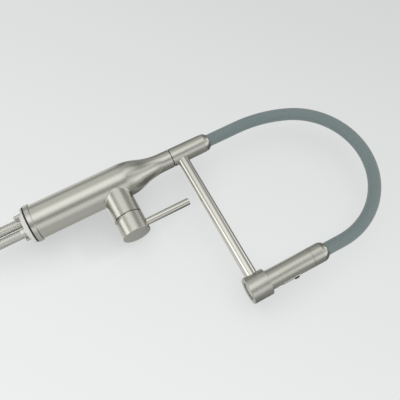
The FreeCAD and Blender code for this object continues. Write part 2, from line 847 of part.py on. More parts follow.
def spindle():
    """The spindle's turning carrier, its pivot pin and the rocking spindle itself."""
    height = dim.handle_height
    flange = chamber_r - dim.fit_gap
    neck = cartridge_neck_r - dim.cartridge_neck_wall - dim.running_gap
    start = driver_end + dim.carrier_gap
    lip = chamber_end - dim.fit_gap
    mouth = nut_top + dim.carrier_stand
    carrier = turned("spindle_carrier", [(0, start), (flange, start), (flange, lip), (neck, lip), (neck, mouth),
                                         (0, mouth)], z=height, along="x")
    square = dim.spindle_square
    slot_y = square / 2 + dim.fit_gap
    slot_z = dim.carrier_slot_length / 2
    outline = draw(new_sketch(carrier, "slot_outline", "XY_Plane", start), [
        (-slot_z, -slot_y), (slot_z, -slot_y), (slot_z, slot_y), (-slot_z, slot_y)])
    pocket(carrier, "spindle_slot", outline, onward=True)
    pin_circle = draw_circles(new_sketch(carrier, "pin_circle", "XZ_Plane"), [(0, pivot_x)], pin_r)
    pocket(carrier, "pin_bore", pin_circle, both=True)
    node(carrier, "spindle_carrier")
    pin_half = neck - dim.fit_gap
    node(rod("pivot_pin_rod", pivot_x, -pin_half, height, "y", pin_r, pin_half * 2), "pivot_pin")

    blank = fused("spindle_blank", [
        solid("Sphere", "spindle_ball", ball_x, 0, height, Radius=ball_r),
        rod("spindle_arm", ball_x, 0, height, "x", dim.spindle_arm_diameter / 2, dim.spindle_reach),
        rod("spindle_boss", pivot_x, -square / 2, height, "y", dim.spindle_boss_diameter / 2, square),
        solid("Box", "spindle_stem", pivot_x, -square / 2, height - square / 2,
              Length=spindle_tip - pivot_x, Width=square, Height=square),
    ])
    hole = rod("spindle_pin_hole", pivot_x, -square, height, "y", pin_r + dim.running_gap / 2, square * 2)
    node(less("spindle_cut", blank, hole), "spindle")


def dome_cover():
    """Round shield in the housing's mouth; the cap's skirt tilts over it about the pivot."""
    outer = dim.dome_radius
    inner = outer - dim.dome_wall
    rim = dim.nut_thread_diameter / 2 - dim.running_gap
    inner_rim = rim - dim.dome_wall
    start = nut_top + dim.free_gap - pivot_x
    mouth = dim.dome_opening / 2
    node(turned("dome_cover", [
        (rim, start),
        (rim, leg(outer, rim), outer, "left"), (mouth, leg(outer, mouth)),
        (mouth, leg(inner, mouth), inner, "right"), (inner_rim, leg(inner, inner_rim)),
        (inner_rim, start),
    ], pivot_x, 0, dim.handle_height, "x"), "dome_cover")


def handle():
    """Handle cap with its slanted relief, the lever pin and the set screw."""
    cap_r = dim.cap_diameter / 2
    cavity = dim.cap_cavity_diameter / 2
    depth = pivot_x + dim.dome_radius + dim.cap_gap - cap_rear
    length = dim.cap_length
    edge = dim.soft_edge
    cap = turned("handle_cap", [
        (0, depth), (cavity, depth), (cavity, 0), (cap_r, 0),
        (cap_r, length - edge, edge, "left"), (cap_r - edge, length), (0, length),
    ], cap_rear, 0, dim.handle_height, "x")
    over = dim.cap_diameter
    below = -dim.cap_gap
    pocket(cap, "tilt_relief", draw(new_sketch(cap, "relief_outline", "XZ_Plane"), [
        (0, below), (over, below), (over, over * tangent(dim.flow_angle)), (0, 0)]), both=True)
    half = dim.spindle_square / 2 + dim.running_gap
    socket = draw(new_sketch(cap, "socket_outline", "XY_Plane", depth), [
        (-half, -half), (half, -half), (half, half), (-half, half)])
    pocket(cap, "spindle_socket", socket, spindle_tip + dim.free_gap - cap_rear - depth, onward=True)
    station = [(0, dim.lever_station - cap_rear)]
    screw_r = dim.set_screw_diameter / 2
    drill(cap, "lever_bore", station, lever_r + dim.running_gap, -dim.lever_seat, plane="YZ_Plane")
    drill(cap, "set_screw_bore", station, screw_r + dim.thread_gap, onward=True, plane="YZ_Plane")
    node(cap, "handle_cap")

    foot = dim.handle_height + dim.lever_seat
    tip = lever_tip
    edge = dim.small_edge
    node(turned("lever_pin", [
        (0, foot), (lever_r, foot), (lever_r, tip - edge), (lever_r - edge, tip), (0, tip),
    ], dim.lever_station, 0, 0), "lever_pin")
    point = dim.spindle_square / 2 + dim.running_gap / 2
    screw = turned("handle_screw", [
        (0, point), (screw_r - dim.soft_edge, point), (screw_r, point + dim.soft_edge),
        (screw_r, dim.set_screw_reach), (0, dim.set_screw_reach),
    ], dim.lever_station, 0, dim.handle_height, "-z")
    drill(screw, "key_socket", [(0, 0)], dim.set_screw_key / 2, dim.set_screw_reach, screw_r)
    node(screw, "handle_screw")


def neck_spigot():
    """Neck spigot with the keeper's groove and its seals, and the glide ring round it."""
    bore = dim.spigot_bore / 2
    edge = dim.soft_edge
    outline = [(bore, spigot_foot), (spigot_seat_r - dim.running_gap, spigot_foot),
               (spigot_seat_r - dim.running_gap, neck_top), (spigot_r, neck_top)]
    seal_r = dim.seal_section / 2
    seals = [neck_top + dim.first_seal_rise - dim.seal_pitch * i for i in (1, 0)]
    outline += groove(spigot_r, keeper_height, keeper_r, dim.keeper_groove_depth)
    for middle in seals:
        outline += groove(spigot_r, middle, seal_r + dim.running_gap, dim.seal_section)
    outline += [(spigot_r, spigot_top - edge), (spigot_r - edge, spigot_top), (bore, spigot_top)]
    node(turned("neck_spigot", outline), "neck_spigot")
    group("swivel_seals", [
        solid("Torus", f"swivel_seal_{i}", 0, 0, middle, Radius1=spigot_r + dim.running_gap / 2 - seal_r,
              Radius2=seal_r) for i, middle in enumerate(seals, start=1)])
    glide = tube(spigot_r + dim.fit_gap, neck_r - dim.glide_inset, neck_top, neck_top + dim.glide_thickness)
    node(turned("glide_ring", glide), "glide_ring")


def groove(radius, middle, half, depth):
    """Points of a groove in an outline that runs upwards."""
    return [(radius, middle - half), (radius - depth, middle - half), (radius - depth, middle + half),
            (radius, middle + half)]


def collar():
    """The turning collar under the hose and the keeper screw that holds it on the spigot."""
    bore = dim.collar_bore / 2
    shelf = spigot_top + dim.free_gap
    corner = dim.dome_corner
    shell = turned("collar_shell", [
        (bore, collar_bottom), (collar_r, collar_bottom),
        (collar_r, collar_top - leg(corner, hose_hole + corner - collar_r), corner, "left"),
        (hose_hole, collar_top), (hose_hole, shelf), (bore, shelf),
    ])
    drill(shell, "arm_thread", [(0, dim.arm_height)], dim.arm_stud_diameter / 2 + dim.thread_gap, onward=True,
          plane="YZ_Plane")
    drill(shell, "keeper_thread", [(0, keeper_height)], keeper_r + dim.thread_gap, plane="YZ_Plane")
    node(shell, "collar_shell")
    point = spigot_r - dim.keeper_groove_depth + dim.free_gap
    point_r = keeper_r - dim.free_gap
    step = bore + dim.fit_gap
    head = collar_r - dim.small_edge
    node(turned("keeper_screw", [
        (0, point), (point_r, point), (point_r, step), (keeper_r, step), (keeper_r, head), (0, head),
    ], 0, 0, keeper_height, "-x"), "keeper_screw")


def arm():
    """Arm tube coped to the collar and the holder ring, with its end plugs."""
    arm_r = dim.arm_diameter / 2
    bore = arm_r - dim.arm_wall
    height = dim.arm_height
    cope = dim.arm_diameter * 2
    blank = rod("arm_blank", 0, 0, height, "x", arm_r, dim.reach)
    copes = fused("arm_copes", [
        rod("arm_core", 0, 0, height, "x", bore, dim.reach),
        rod("arm_collar_cope", 0, 0, height - cope / 2, "z", collar_r, cope),
        rod("arm_ring_cope", dim.reach, 0, height - cope / 2, "z", holder_r, cope),
    ])
    node(less("arm_tube_cut", blank, copes), "arm_tube")

    plug_r = bore - dim.running_gap
    stud = dim.arm_stud_diameter / 2
    inner_end = dim.collar_bore / 2 + dim.free_gap
    plug_start = collar_r + dim.free_gap
    plug_end = plug_start + dim.arm_plug_length
    node(turned("arm_stud", [(0, inner_end), (stud, inner_end), (stud, plug_start), (plug_r, plug_start),
                             (plug_r, plug_end), (0, plug_end)], 0, 0, height, "x"), "arm_stud")
    screw_r = dim.holder_screw_diameter / 2
    outer_end = dim.reach - holder_r - dim.free_gap
    plug = tube(screw_r + dim.thread_gap, plug_r, outer_end - dim.arm_plug_length, outer_end)
    node(turned("arm_end_plug", plug, 0, 0, height, "x"), "arm_end_plug")
    head_x = dim.reach - holder_bore_r - dim.free_gap
    head = dim.holder_screw_head / 2
    tip = dim.holder_screw_length
    node(turned("holder_screw", [(0, 0), (head, 0), (screw_r, head - screw_r), (screw_r, tip), (0, tip)],
                head_x, 0, height, "-x"), "holder_screw")


def holder():
    """Ring at the arm's end that the spray head docks in, and its plastic liner."""
    x = dim.reach
    bore = holder_bore_r
    edge = dim.small_edge
    lip = holder_top - dim.holder_lip
    ring = turned("holder_ring", [
        (bore, holder_base), (holder_r - edge, holder_base, edge, "left"), (holder_r, holder_base + edge),
        (holder_r, holder_top - edge, edge, "left"), (holder_r - edge, holder_top),
        (holder_opening, holder_top), (holder_opening, lip), (bore, lip),
    ], x, 0, 0)
    screw_r = dim.holder_screw_diameter / 2
    head = dim.holder_screw_head / 2 + dim.free_gap
    drill(ring, "holder_screw_hole", [(0, dim.arm_height)], screw_r + dim.running_gap, plane="YZ_Plane")
    height = dim.arm_height
    doc.recompute()
    sink = ring.newObject("PartDesign::Groove", "holder_screw_sink")
    mouth, brim = edge - bore, -bore - dim.free_gap
    sink_end = brim - (head - screw_r)
    sink.Profile = draw(new_sketch(ring, "sink_outline", "XZ_Plane"), [
        (mouth, height), (mouth, height + head), (brim, height + head), (sink_end, height + screw_r),
        (sink_end, height)])
    sink.ReferenceAxis = (sink.Profile[0], ["Edge5"])
    sink.Angle = 360
    node(ring, "holder_ring")

    lip_r = head_r - dim.liner_lip
    outer = bore - dim.running_gap
    top = lip - dim.running_gap
    node(turned("holder_liner", [
        (lip_r, holder_base), (outer, holder_base), (outer, top), (holder_opening, top),
        (holder_opening, holder_base + dim.liner_lip + dim.small_edge), (lip_r, holder_base + dim.liner_lip),
    ], x, 0, 0), "holder_liner")


def hose_route(sketch):
    """Straight rise, easy entry arc, round crown and straight fall to the spray head."""
    entry, crown = dim.hose_entry_radius, dim.reach / 2 - dim.hose_crown_inset
    cos_entry = (entry + crown - dim.reach) / (entry - crown)
    sin_entry = root(1 - cos_entry * cos_entry)
    join_x = entry - entry * cos_entry
    join_z = hose_rise + entry * sin_entry
    fall_z = hose_rise + (entry - crown) * sin_entry
    return draw(sketch, [
        (0, hose_start), (0, hose_rise, entry, "right"), (join_x, join_z, crown, "right"),
        (dim.reach - crown, fall_z + crown, crown, "right"), (dim.reach, fall_z), (dim.reach, hose_end),
    ], closed=False)


def spout_hoses():
    """Silicone outer hose and the pressure hose inside it."""
    for label, outer, inner in (("spout_hose", dim.hose_diameter, dim.hose_bore),
                                ("inner_hose", dim.inner_hose_diameter, dim.inner_hose_bore)):
        body = new_body(label)
        spine = hose_route(new_sketch(body, label + "_route", "XZ_Plane"))
        section = new_sketch(body, label + "_section", "XY_Plane", hose_start)
        draw_circles(section, [(0, 0)], outer / 2)
        draw_circles(section, [(0, 0)], inner / 2)
        pipe = body.newObject("PartDesign::AdditivePipe", label + "_pipe")
        pipe.Profile = section
        pipe.Spine = (spine, [])
        node(body, label)


def barbs(start):
    """Outline of a hose barb that starts at a height, with its bore side closed at the top."""
    points = [(barb_r, start)]
    for i in range(SIZES["barb_count"]):
        foot = start + dim.barb_pitch * i
        points += [(barb_r - dim.barb_depth, foot + dim.barb_pitch / 2), (barb_r, foot + dim.barb_pitch)]
    return points + [(nipple_bore_r, start + dim.barb_pitch * SIZES["barb_count"])]


def hose_ends():
    """Barbed ends of the inner hose, the end cap and the swivel it turns on."""
    flange = hose_r - dim.running_gap
    shelf = spigot_top + dim.free_gap * 2
    node(turned("lower_nipple", [
        (nipple_bore_r, shelf), (flange, shelf), (flange, shelf + dim.nipple_flange),
    ] + barbs(shelf + dim.nipple_flange)), "lower_nipple")

    corner = dim.dome_corner
    shoulder = seam + dim.head_swivel_shoulder
    node(turned("end_cap", [
        (head_neck_r + dim.fit_gap, seam), (head_r, seam),
        (head_r, head_top - leg(corner, hose_hole + corner - head_r), corner, "left"),
        (hose_hole, head_top), (hose_hole, shoulder), (head_neck_r + dim.fit_gap, shoulder),
    ], dim.reach, 0, 0), "end_cap")

    foot = shoulder - dim.head_swivel_length
    ring_r = dim.o_ring_section / 2
    ring_height = seam - dim.o_ring_depth
    outline = [(nipple_bore_r, foot), (head_neck_r, foot)]
    outline += groove(head_neck_r, ring_height, ring_r + dim.running_gap, dim.o_ring_section)
    outline += groove(head_neck_r, seam - dim.retainer_depth, dim.retainer_thickness / 2 + dim.free_gap,
                      dim.retainer_thickness)
    outline += [(head_neck_r, shoulder), (flange, shoulder), (flange, shoulder + dim.nipple_flange)]
    outline += barbs(shoulder + dim.nipple_flange)
    node(turned("swivel_nipple", outline, dim.reach, 0, 0), "swivel_nipple")
    node(solid("Torus", "swivel_ring", dim.reach, 0, ring_height,
               Radius1=head_neck_r + dim.running_gap / 2 - ring_r, Radius2=ring_r), "swivel_o_ring")


# Heights and radii inside the spray head
face_start = head_bottom + dim.small_edge
face_top = face_start + dim.face_thickness
core_foot = face_top + dim.aerator_height
core_r = head_bore_r - dim.running_gap
core_socket_r = head_neck_r + dim.running_gap
retainer_r = core_socket_r + dim.retainer_height
retainer_top = shell_top - dim.head_wall - dim.free_gap
valve_top = seam + dim.head_swivel_shoulder - dim.head_swivel_length - dim.free_gap * 2
button_r = dim.button_diameter / 2
cap_foot = core_r - dim.button_well + dim.fit_gap + dim.button_travel


def spray_shell():
    """The head's outer shell with its raised thumb pad and the button's hole."""
    bottom_edge = dim.soft_edge
    shell = turned("spray_shell", [
        (head_bore_r, head_bottom), (head_r - bottom_edge, head_bottom), (head_r, head_bottom + bottom_edge),
        (head_r, shell_top), (retainer_r, shell_top), (retainer_r, shell_top - dim.head_wall),
        (head_bore_r, shell_top - dim.head_wall),
    ], dim.reach, 0, 0)
    rise = head_r + dim.thumb_pad_rise
    inside = (head_bore_r + head_r) / 2
    pad(shell, "thumb_pad", draw(new_sketch(shell, "thumb_pad_outline", "XZ_Plane"), [
        (inside, thumb_pad_start), (head_r, thumb_pad_start),
        (rise, thumb_pad_end - dim.thumb_pad_land), (rise, thumb_pad_end), (inside, thumb_pad_end)]),
        dim.thumb_pad_width, both=True)
    soften(shell, "thumb_pad_round", dim.thumb_pad_round, thumb_pad_edge)
    drill(shell, "button_hole", [(0, button_height)], button_r + dim.free_gap, onward=True, plane="YZ_Plane")
    node(shell, "spray_shell")


def thumb_pad_edge(edge):
    """The thumb pad's raised edges, clear of the shell's round wall."""
    box = edge.BoundBox
    outside = box.XMin > number_of(head_r) + number_of(dim.small_edge) / 2
    return outside and box.ZMin > number_of(thumb_pad_end - dim.thumb_pad_land - dim.running_gap)


def spray_core():
    """The head's core with its swivel socket, retainer, non-return valve, button and diverter."""
    x = dim.reach
    socket_floor = seam + dim.head_swivel_shoulder - dim.head_swivel_length - dim.free_gap
    valve_r = dim.check_valve_diameter / 2
    valve_foot = valve_top - dim.check_valve_length
    retainer_foot = retainer_top - dim.retainer_height
    core = turned("spray_core", [
        (0, core_foot), (core_r, core_foot), (core_r, shell_top - dim.head_wall - dim.fit_gap),
        (retainer_r, shell_top - dim.head_wall - dim.fit_gap), (retainer_r, retainer_foot - dim.fit_gap),
        (core_socket_r, retainer_foot - dim.fit_gap), (core_socket_r, socket_floor),
        (valve_r + dim.running_gap, socket_floor), (valve_r + dim.running_gap, valve_foot - dim.fit_gap),
        (0, valve_foot - dim.fit_gap),
    ], x, 0, 0)
    across = [(0, button_height)]
    plunger_hole = dim.plunger_diameter / 2 + dim.running_gap
    drill(core, "plunger_bore", across, plunger_hole, onward=True, plane="YZ_Plane")
    drill(core, "button_well", across, button_r + dim.free_gap, core_r - dim.button_well, onward=True,
          plane="YZ_Plane")
    drill(core, "spray_passage", [(-dim.spray_passage_offset, 0)], dim.spray_passage_diameter / 2, core_foot,
          socket_floor - core_foot, onward=True)
    node(core, "spray_core")

    inner = core_socket_r + dim.fit_gap
    middle = seam - dim.retainer_depth
    half = dim.retainer_thickness / 2
    hook = head_neck_r - dim.retainer_thickness + dim.free_gap
    outer = retainer_r - dim.fit_gap
    node(turned("head_retainer", [
        (hook, middle - half), (inner, middle - half), (inner, retainer_foot), (outer, retainer_foot),
        (outer, retainer_top), (inner, retainer_top), (inner, middle + half), (hook, middle + half),
    ], x, 0, 0), "head_retainer")
    nose = dim.check_valve_nose_diameter / 2
    node(turned("check_valve", [
        (0, valve_foot), (valve_r, valve_foot), (valve_r, valve_top - valve_r + nose), (nose, valve_top),
        (0, valve_top),
    ], x, 0, 0), "check_valve")

    stand = head_r + dim.thumb_pad_rise + dim.button_stand
    edge = dim.soft_edge
    node(turned("spray_button", [
        (0, cap_foot), (button_r, cap_foot), (button_r, stand - edge, edge, "left"), (button_r - edge, stand),
        (0, stand)], x, 0, button_height, "x"), "spray_button")
    tip = dim.button_travel * 2
    node(turned("diverter_plunger", disc(dim.plunger_diameter / 2, tip, cap_foot), x, 0, button_height, "x"),
         "diverter_plunger")


def spray_face():
    """Face plate with its ring of nozzles, the rubber nozzle mat and the aerator in the middle."""
    x = dim.reach
    aerator_r = dim.aerator_diameter / 2
    circle_r = dim.nozzle_circle_diameter / 2
    nozzle_r = dim.nozzle_diameter / 2
    mat_top = face_top + dim.face_mat_thickness
    plate = turned("spray_face", tube(aerator_r + dim.running_gap, core_r, face_start, face_top), x, 0, 0)
    hole = drill(plate, "nozzle_hole", [(circle_r, 0)], nozzle_r + dim.running_gap, face_start, onward=True)
    repeat(plate, hole, dim.nozzle_count)
    node(plate, "spray_face")

    mat = turned("nozzle_mat", tube(aerator_r + dim.running_gap, core_r, face_top, mat_top), x, 0, 0)
    nozzle = draw_circles(new_sketch(mat, "nozzle_circle", "XY_Plane", face_start - dim.nozzle_stand),
                          [(circle_r, 0)], nozzle_r)
    repeat(mat, pad(mat, "nozzle", nozzle, dim.face_thickness + dim.nozzle_stand), dim.nozzle_count)
    node(mat, "nozzle_mat")

    node(turned("aerator", disc(aerator_r, face_start + dim.nozzle_stand, core_foot - dim.fit_gap), x, 0, 0),
         "aerator")
    seal = tube(core_r - dim.face_seal_width, core_r, mat_top, core_foot - dim.running_gap)
    node(turned("face_seal", seal, x, 0, 0), "face_seal")


base()
column()
valve_block()
supply_side()
cartridge()
cartridge_nut()
spindle()
dome_cover()
handle()
neck_spigot()
collar()
arm()
holder()
spout_hoses()
hose_ends()
spray_shell()
spray_core()
spray_face()

doc.recompute()
faults = [thing.Label for thing in doc.Objects if "Invalid" in thing.State or "Error" in thing.State]
if faults:
    raise RuntimeError(f"failed objects: {faults}")
for thing in nodes:
    if thing.Shape.isNull() or not thing.Shape.isValid() or not thing.Shape.Solids:
        raise RuntimeError(f"bad shape: {thing.Label}")

os.makedirs("parts", exist_ok=True)
for thing in nodes:
    thing.Shape.exportStep(f"parts/{thing.Label}.step")
print(len(nodes), "sub-parts")
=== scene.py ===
import math

import bpy
from mathutils import Matrix, Vector


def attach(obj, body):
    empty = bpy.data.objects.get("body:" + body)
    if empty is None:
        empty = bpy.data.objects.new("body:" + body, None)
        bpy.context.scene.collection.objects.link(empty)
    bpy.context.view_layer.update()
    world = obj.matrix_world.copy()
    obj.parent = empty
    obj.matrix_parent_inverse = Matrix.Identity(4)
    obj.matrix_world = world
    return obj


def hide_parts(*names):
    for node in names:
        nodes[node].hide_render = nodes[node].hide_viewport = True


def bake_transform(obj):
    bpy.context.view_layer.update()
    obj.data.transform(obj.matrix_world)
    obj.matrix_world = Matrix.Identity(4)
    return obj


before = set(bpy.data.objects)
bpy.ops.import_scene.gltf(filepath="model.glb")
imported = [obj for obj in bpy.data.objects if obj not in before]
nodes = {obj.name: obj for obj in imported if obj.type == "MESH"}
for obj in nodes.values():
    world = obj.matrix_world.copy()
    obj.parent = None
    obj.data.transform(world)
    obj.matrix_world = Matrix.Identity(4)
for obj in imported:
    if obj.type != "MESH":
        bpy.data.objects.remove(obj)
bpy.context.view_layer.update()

# Kitchen tap: brushed nickel column and arm, side lever, docked spray head, arched silicone spout
# hose, two braided supply hoses. Metres, with the origin on the deck under the column, +Z up, and
# +X towards the lever and the arm.

REACH = 0.2195  # from the column's axis to the spray head's
HOUSING_FROM = 0.0253  # the column lies within this radius, and the handle housing beyond it


# Camera

EYE = Vector((0.3187, -0.6369, 0.0935))
RIGHT = Vector((0.474, 0, 0.880)).normalized()
BACK = Vector((0.348, -0.9184, -0.1875)).normalized()  # from the tap towards the eye

camera = bpy.data.objects.new("camera", bpy.data.cameras.new("camera"))
bpy.context.scene.collection.objects.link(camera)
camera.data.lens = 45
camera.data.sensor_width = 36
camera.data.clip_start = 0.01
camera.data.clip_end = 20
facing = Matrix((RIGHT, BACK.cross(RIGHT), BACK)).transposed().to_4x4()
camera.matrix_world = Matrix.Translation(EYE) @ facing
bpy.context.scene.camera = camera
bpy.context.scene.view_settings.view_transform = "Standard"


# Materials

def linear(code):
    """A colour written as an sRGB hex code, as the linear numbers that a shader takes."""
    parts = [int(code[i:i + 2], 16) / 255 for i in (1, 3, 5)]
    return [p / 12.92 if p <= 0.04045 else ((p + 0.055) / 1.055) ** 2.4 for p in parts] + [1]


def add(owner, kind, inputs, stops=(), **settings):
    """Adds a node to a material or the world, gives it its settings, and a colour ramp its stops,
    and fills its inputs with numbers or with another node's output."""
    node = owner.node_tree.nodes.new(kind)
    for name, value in settings.items():
        setattr(node, name, value)
    for _ in stops[2:]:
        node.color_ramp.elements.new(0.5)
    for k, (position, colour) in enumerate(stops):
        node.color_ramp.elements[k].position = position
        node.color_ramp.elements[k].color = colour
    for socket, value in inputs.items():
        if isinstance(value, bpy.types.NodeSocket):
            link(owner, value, node, socket)
        else:
            node.inputs[socket].default_value = value
    return node


def link(owner, value, node, socket):
    owner.node_tree.links.new(value, node.inputs[socket])


def finish_of(name, **sockets):
    """A new material and its shader, with the sockets that are the same all over the surface."""
    material = bpy.data.materials.new(name)
    material.use_nodes = True
    shader = material.node_tree.nodes["Principled BSDF"]
    for socket, value in sockets.items():
        shader.inputs[socket.replace("_", " ")].default_value = value
    return material, shader


def brushed(name, light, dark, axes, roughness):
    """Metal turned against an abrasive belt: hair lines run round each cylinder, so a reflection
    stays crisp across it and is drawn out along it. The real lines are about 0.1 mm apart; these
    are 0.5 mm, to show. axes names the axis that the part was turned about, or both of them."""
    lines_per_metre, breaks_per_metre = 2000, 22
    line_depth = 0.00004
    blur_each_way = 0.03
    low, high = 0.3, 0.7  # the pattern's dark and light ends
    material, shader = finish_of(name, Metallic=1.0)
    place = add(material, "ShaderNodeTexCoord", {}).outputs["Object"]
    hair = []
    for axis in axes:
        scale = [lines_per_metre if axis == a else breaks_per_metre for a in "xyz"]
        stretch = add(material, "ShaderNodeMapping", {"Vector": place, "Scale": scale})
        hair.append(add(material, "ShaderNodeTexNoise", {
            "Vector": stretch.outputs["Vector"], "Scale": 1.0, "Detail": 3.0,
            "Roughness": 0.6}).outputs["Fac"])
    lines = hair[0]
    if len(hair) > 1:
        # the handle housing was turned about its own axis, not the column's
        flat = add(material, "ShaderNodeMapping", {"Vector": place, "Scale": (1, 1, 0)})
        radius = add(material, "ShaderNodeVectorMath", {0: flat.outputs["Vector"]},
                     operation="LENGTH")
        beyond = add(material, "ShaderNodeMath", {0: radius.outputs["Value"], 1: HOUSING_FROM},
                     operation="GREATER_THAN")
        lines = add(material, "ShaderNodeMix", {
            0: beyond.outputs["Value"], 2: hair[0], 3: hair[1]}).outputs[0]
    tone = add(material, "ShaderNodeValToRGB", {"Fac": lines},
               stops=[(low, linear(dark)), (high, linear(light))])
    link(material, tone.outputs["Color"], shader, "Base Color")
    blur = add(material, "ShaderNodeMapRange", {
        "Value": lines, "From Min": low, "From Max": high,
        "To Min": roughness - blur_each_way, "To Max": roughness + blur_each_way})
    link(material, blur.outputs["Result"], shader, "Roughness")
    bump = add(material, "ShaderNodeBump", {"Height": lines, "Strength": 0.06,
                                            "Distance": line_depth})
    link(material, bump.outputs["Normal"], shader, "Normal")
    return material


# Brushed nickel plate on brass, belt finished: a warm grey whose reflections are sharp-edged round
# each cylinder and drawn out along it, with hair lines that run round it. Upright parts were turned
# about a standing axis, level ones about a lying one, and the column about both.
nickel_upright = brushed("brushed_nickel_upright", "#D0D0C8", "#C6C6BE", axes="z", roughness=0.24)
nickel_level = brushed("brushed_nickel_level", "#D0D0C8", "#C6C6BE", axes="x", roughness=0.24)
nickel_column = brushed("brushed_nickel_column", "#D0D0C8", "#C6C6BE", axes="zx", roughness=0.24)
# The thin arm and lever are drawn tube and bar, finished on a finer belt: brighter, with narrower
# bright lines.
nickel_arm = brushed("polished_nickel_arm", "#D6D5CE", "#CECDC6", axes="x", roughness=0.14)
nickel_lever = brushed("polished_nickel_lever", "#D6D5CE", "#CECDC6", axes="z", roughness=0.14)
# Stainless bar turned on a lathe: a cooler, duller grey with turning lines.
steel_turned = brushed("turned_steel", "#C0C1C0", "#B0B2B2", axes="z", roughness=0.3)


def grained(name, dark, light, scale, strength, depth, **sockets):
    """A surface whose tone and relief follow one fine grain, which repeats scale times in a
    metre, each time from a dark grain to a light one."""
    material, shader = finish_of(name, **sockets)
    place = add(material, "ShaderNodeTexCoord", {}).outputs["Object"]
    grain = add(material, "ShaderNodeTexNoise", {
        "Vector": place, "Scale": scale, "Detail": 2.0}).outputs["Fac"]
    tone = add(material, "ShaderNodeValToRGB", {"Fac": grain},
               stops=[(0.35, dark), (0.65, light)])
    link(material, tone.outputs["Color"], shader, "Base Color")
    bump = add(material, "ShaderNodeBump", {"Height": grain, "Strength": strength,
                                            "Distance": depth})
    link(material, bump.outputs["Normal"], shader, "Normal")
    return material


def plain(name, colour, roughness, metallic=0.0, grain_mm=0.3, depth_mm=0.02, mottle=0.05):
    """A moulded or machined surface of one colour. grain_mm is the width of one grain, depth_mm
    its relief, and mottle how far its tone wanders."""
    dark, light = ([c * share for c in linear(colour)[:3]] + [1]
                   for share in (1 - mottle, 1 + mottle))
    return grained(name, dark, light, scale=1000 / (2 * grain_mm), strength=0.3,
                   depth=depth_mm / 1000, Roughness=roughness, Metallic=metallic)


# Moulded silicone sleeve: matt blue grey with a dusty grain and a soft light along its edges. The
# real dust is finer than 0.1 mm; this grain is about 0.5 mm, to show.
silicone_grey = grained("moulded_silicone", linear("#637272"), linear("#6B7A79"), scale=900.0,
                        strength=0.2, depth=0.00005, Roughness=0.7, Sheen_Weight=0.3,
                        Sheen_Roughness=0.6)
# Moulded rubber of the gasket and seals: near black, matt, the mould's 0.3 mm spark grain just
# visible.
rubber_black = plain("epdm_rubber", "#23262B", roughness=0.55)
# Acetal from a smooth mould: off-white and satin, almost even in tone.
pale_plastic = plain("moulded_acetal", "#D6D7D0", roughness=0.42, depth_mm=0.01, mottle=0.02)
# Glass filled nylon: charcoal or mid grey with cloudy flow marks and a slight gloss.
dark_plastic = plain("moulded_nylon_dark", "#3A3D3F", roughness=0.45, mottle=0.08)
grey_plastic = plain("moulded_nylon_grey", "#A6A8A4", roughness=0.45, mottle=0.08)
# Translucent silicone of the nozzle mat: a milky grey, softer than the plastic round it.
pale_silicone = plain("silicone_nozzle_mat", "#A4A8A6", roughness=0.6, grain_mm=0.2, mottle=0.03)
# Gloss ABS of the button: black, smooth, with a clear highlight.
button_black = plain("moulded_abs_black", "#17181A", roughness=0.35, depth_mm=0.005)
# Bare machined brass: pale yellow grey. The real tool marks are 0.1 mm; these are 0.3 mm, to show.
brass = plain("machined_brass", "#C4BDA0", roughness=0.34, metallic=1.0)
# Bright nickel plate on the nuts and studs: smooth and mirror-like with faint tarnish.
plated = plain("nickel_plated_brass", "#C8C7C1", roughness=0.22, metallic=1.0, grain_mm=0.6,
               depth_mm=0.004, mottle=0.04)
# Stainless wire of the braid, drawn and unpolished: many wires side by side scatter the light. A
# real wire is 0.2 mm; the bands of the weave are 1.8 mm wide and the grain between wires 0.3 mm.
wire = plain("stainless_wire", "#DADAD3", roughness=0.42, metallic=1.0, mottle=0.08)
# Extruded rubber tube under the braid: dark grey and dull, seen only through the weave's gaps.
tube_grey = plain("epdm_tube", "#55585A", roughness=0.6)
# Lapped alumina of the valve discs: ivory, smooth, with a soft sheen. Its real grain is too fine
# to see.
ceramic_white = plain("sintered_ceramic", "#E4E2DA", roughness=0.25, grain_mm=0.2,
                      depth_mm=0.002, mottle=0.02)

# each finish, and the nodes that it goes on
FINISHES = {
    nickel_upright: "base_ring collar_shell holder_ring end_cap spray_shell neck_spigot",
    nickel_column: "column_body",
    nickel_level: "handle_cap dome_cover",
    nickel_arm: "arm_tube",
    nickel_lever: "lever_pin",
    steel_turned: "keeper_screw arm_stud arm_end_plug holder_screw handle_screw pivot_pin spindle "
                  "outlet_sleeves inlet_sleeves",
    rubber_black: "deck_gasket swivel_seals swivel_o_ring port_seals face_seal",
    pale_silicone: "nozzle_mat",
    pale_plastic: "centring_collar head_retainer check_valve aerator spray_face",
    dark_plastic: "spray_core disc_driver diverter_plunger cartridge_body glide_ring",
    grey_plastic: "spindle_carrier holder_liner",
    button_black: "spray_button",
    brass: "stud_plate valve_body inlet_tails cartridge_nut lower_nipple swivel_nipple",
    plated: "union_nuts fixing_studs",
    wire: "supply_hose_roots",
    ceramic_white: "fixed_disc moving_disc",
}

for material, names in FINISHES.items():
    for name in names.split():
        mesh = nodes[name].data
        mesh.materials.clear()
        mesh.materials.append(material)


# Supply hoses

# the cold hose's route, in millimetres; the hot one is its mirror through the column's axis
SUPPLY_ROUTE = [(7, 1.8, -2), (6.6, 1.7, -95), (15, 6.8, -190), (25, 9.8, -285), (25, 9.8, -365)]
SUPPLY_RADIUS = 0.0067  # over the braid
BRAID_DEPTH = 0.0006  # from there down to the tube inside
WEAVE_DEPTH = 0.00032  # from there down to the middle of the weave
BRAID_BANDS = 12  # each way round
BAND_WIDTH = 0.0018
BAND_LIFT = 0.00018  # how far a band rises and dips where it crosses the others
BAND_CROWN = 0.00012  # how far its middle stands above its edges
BRAID_STEP = 0.0008  # along the hose, from one row of corners to the next


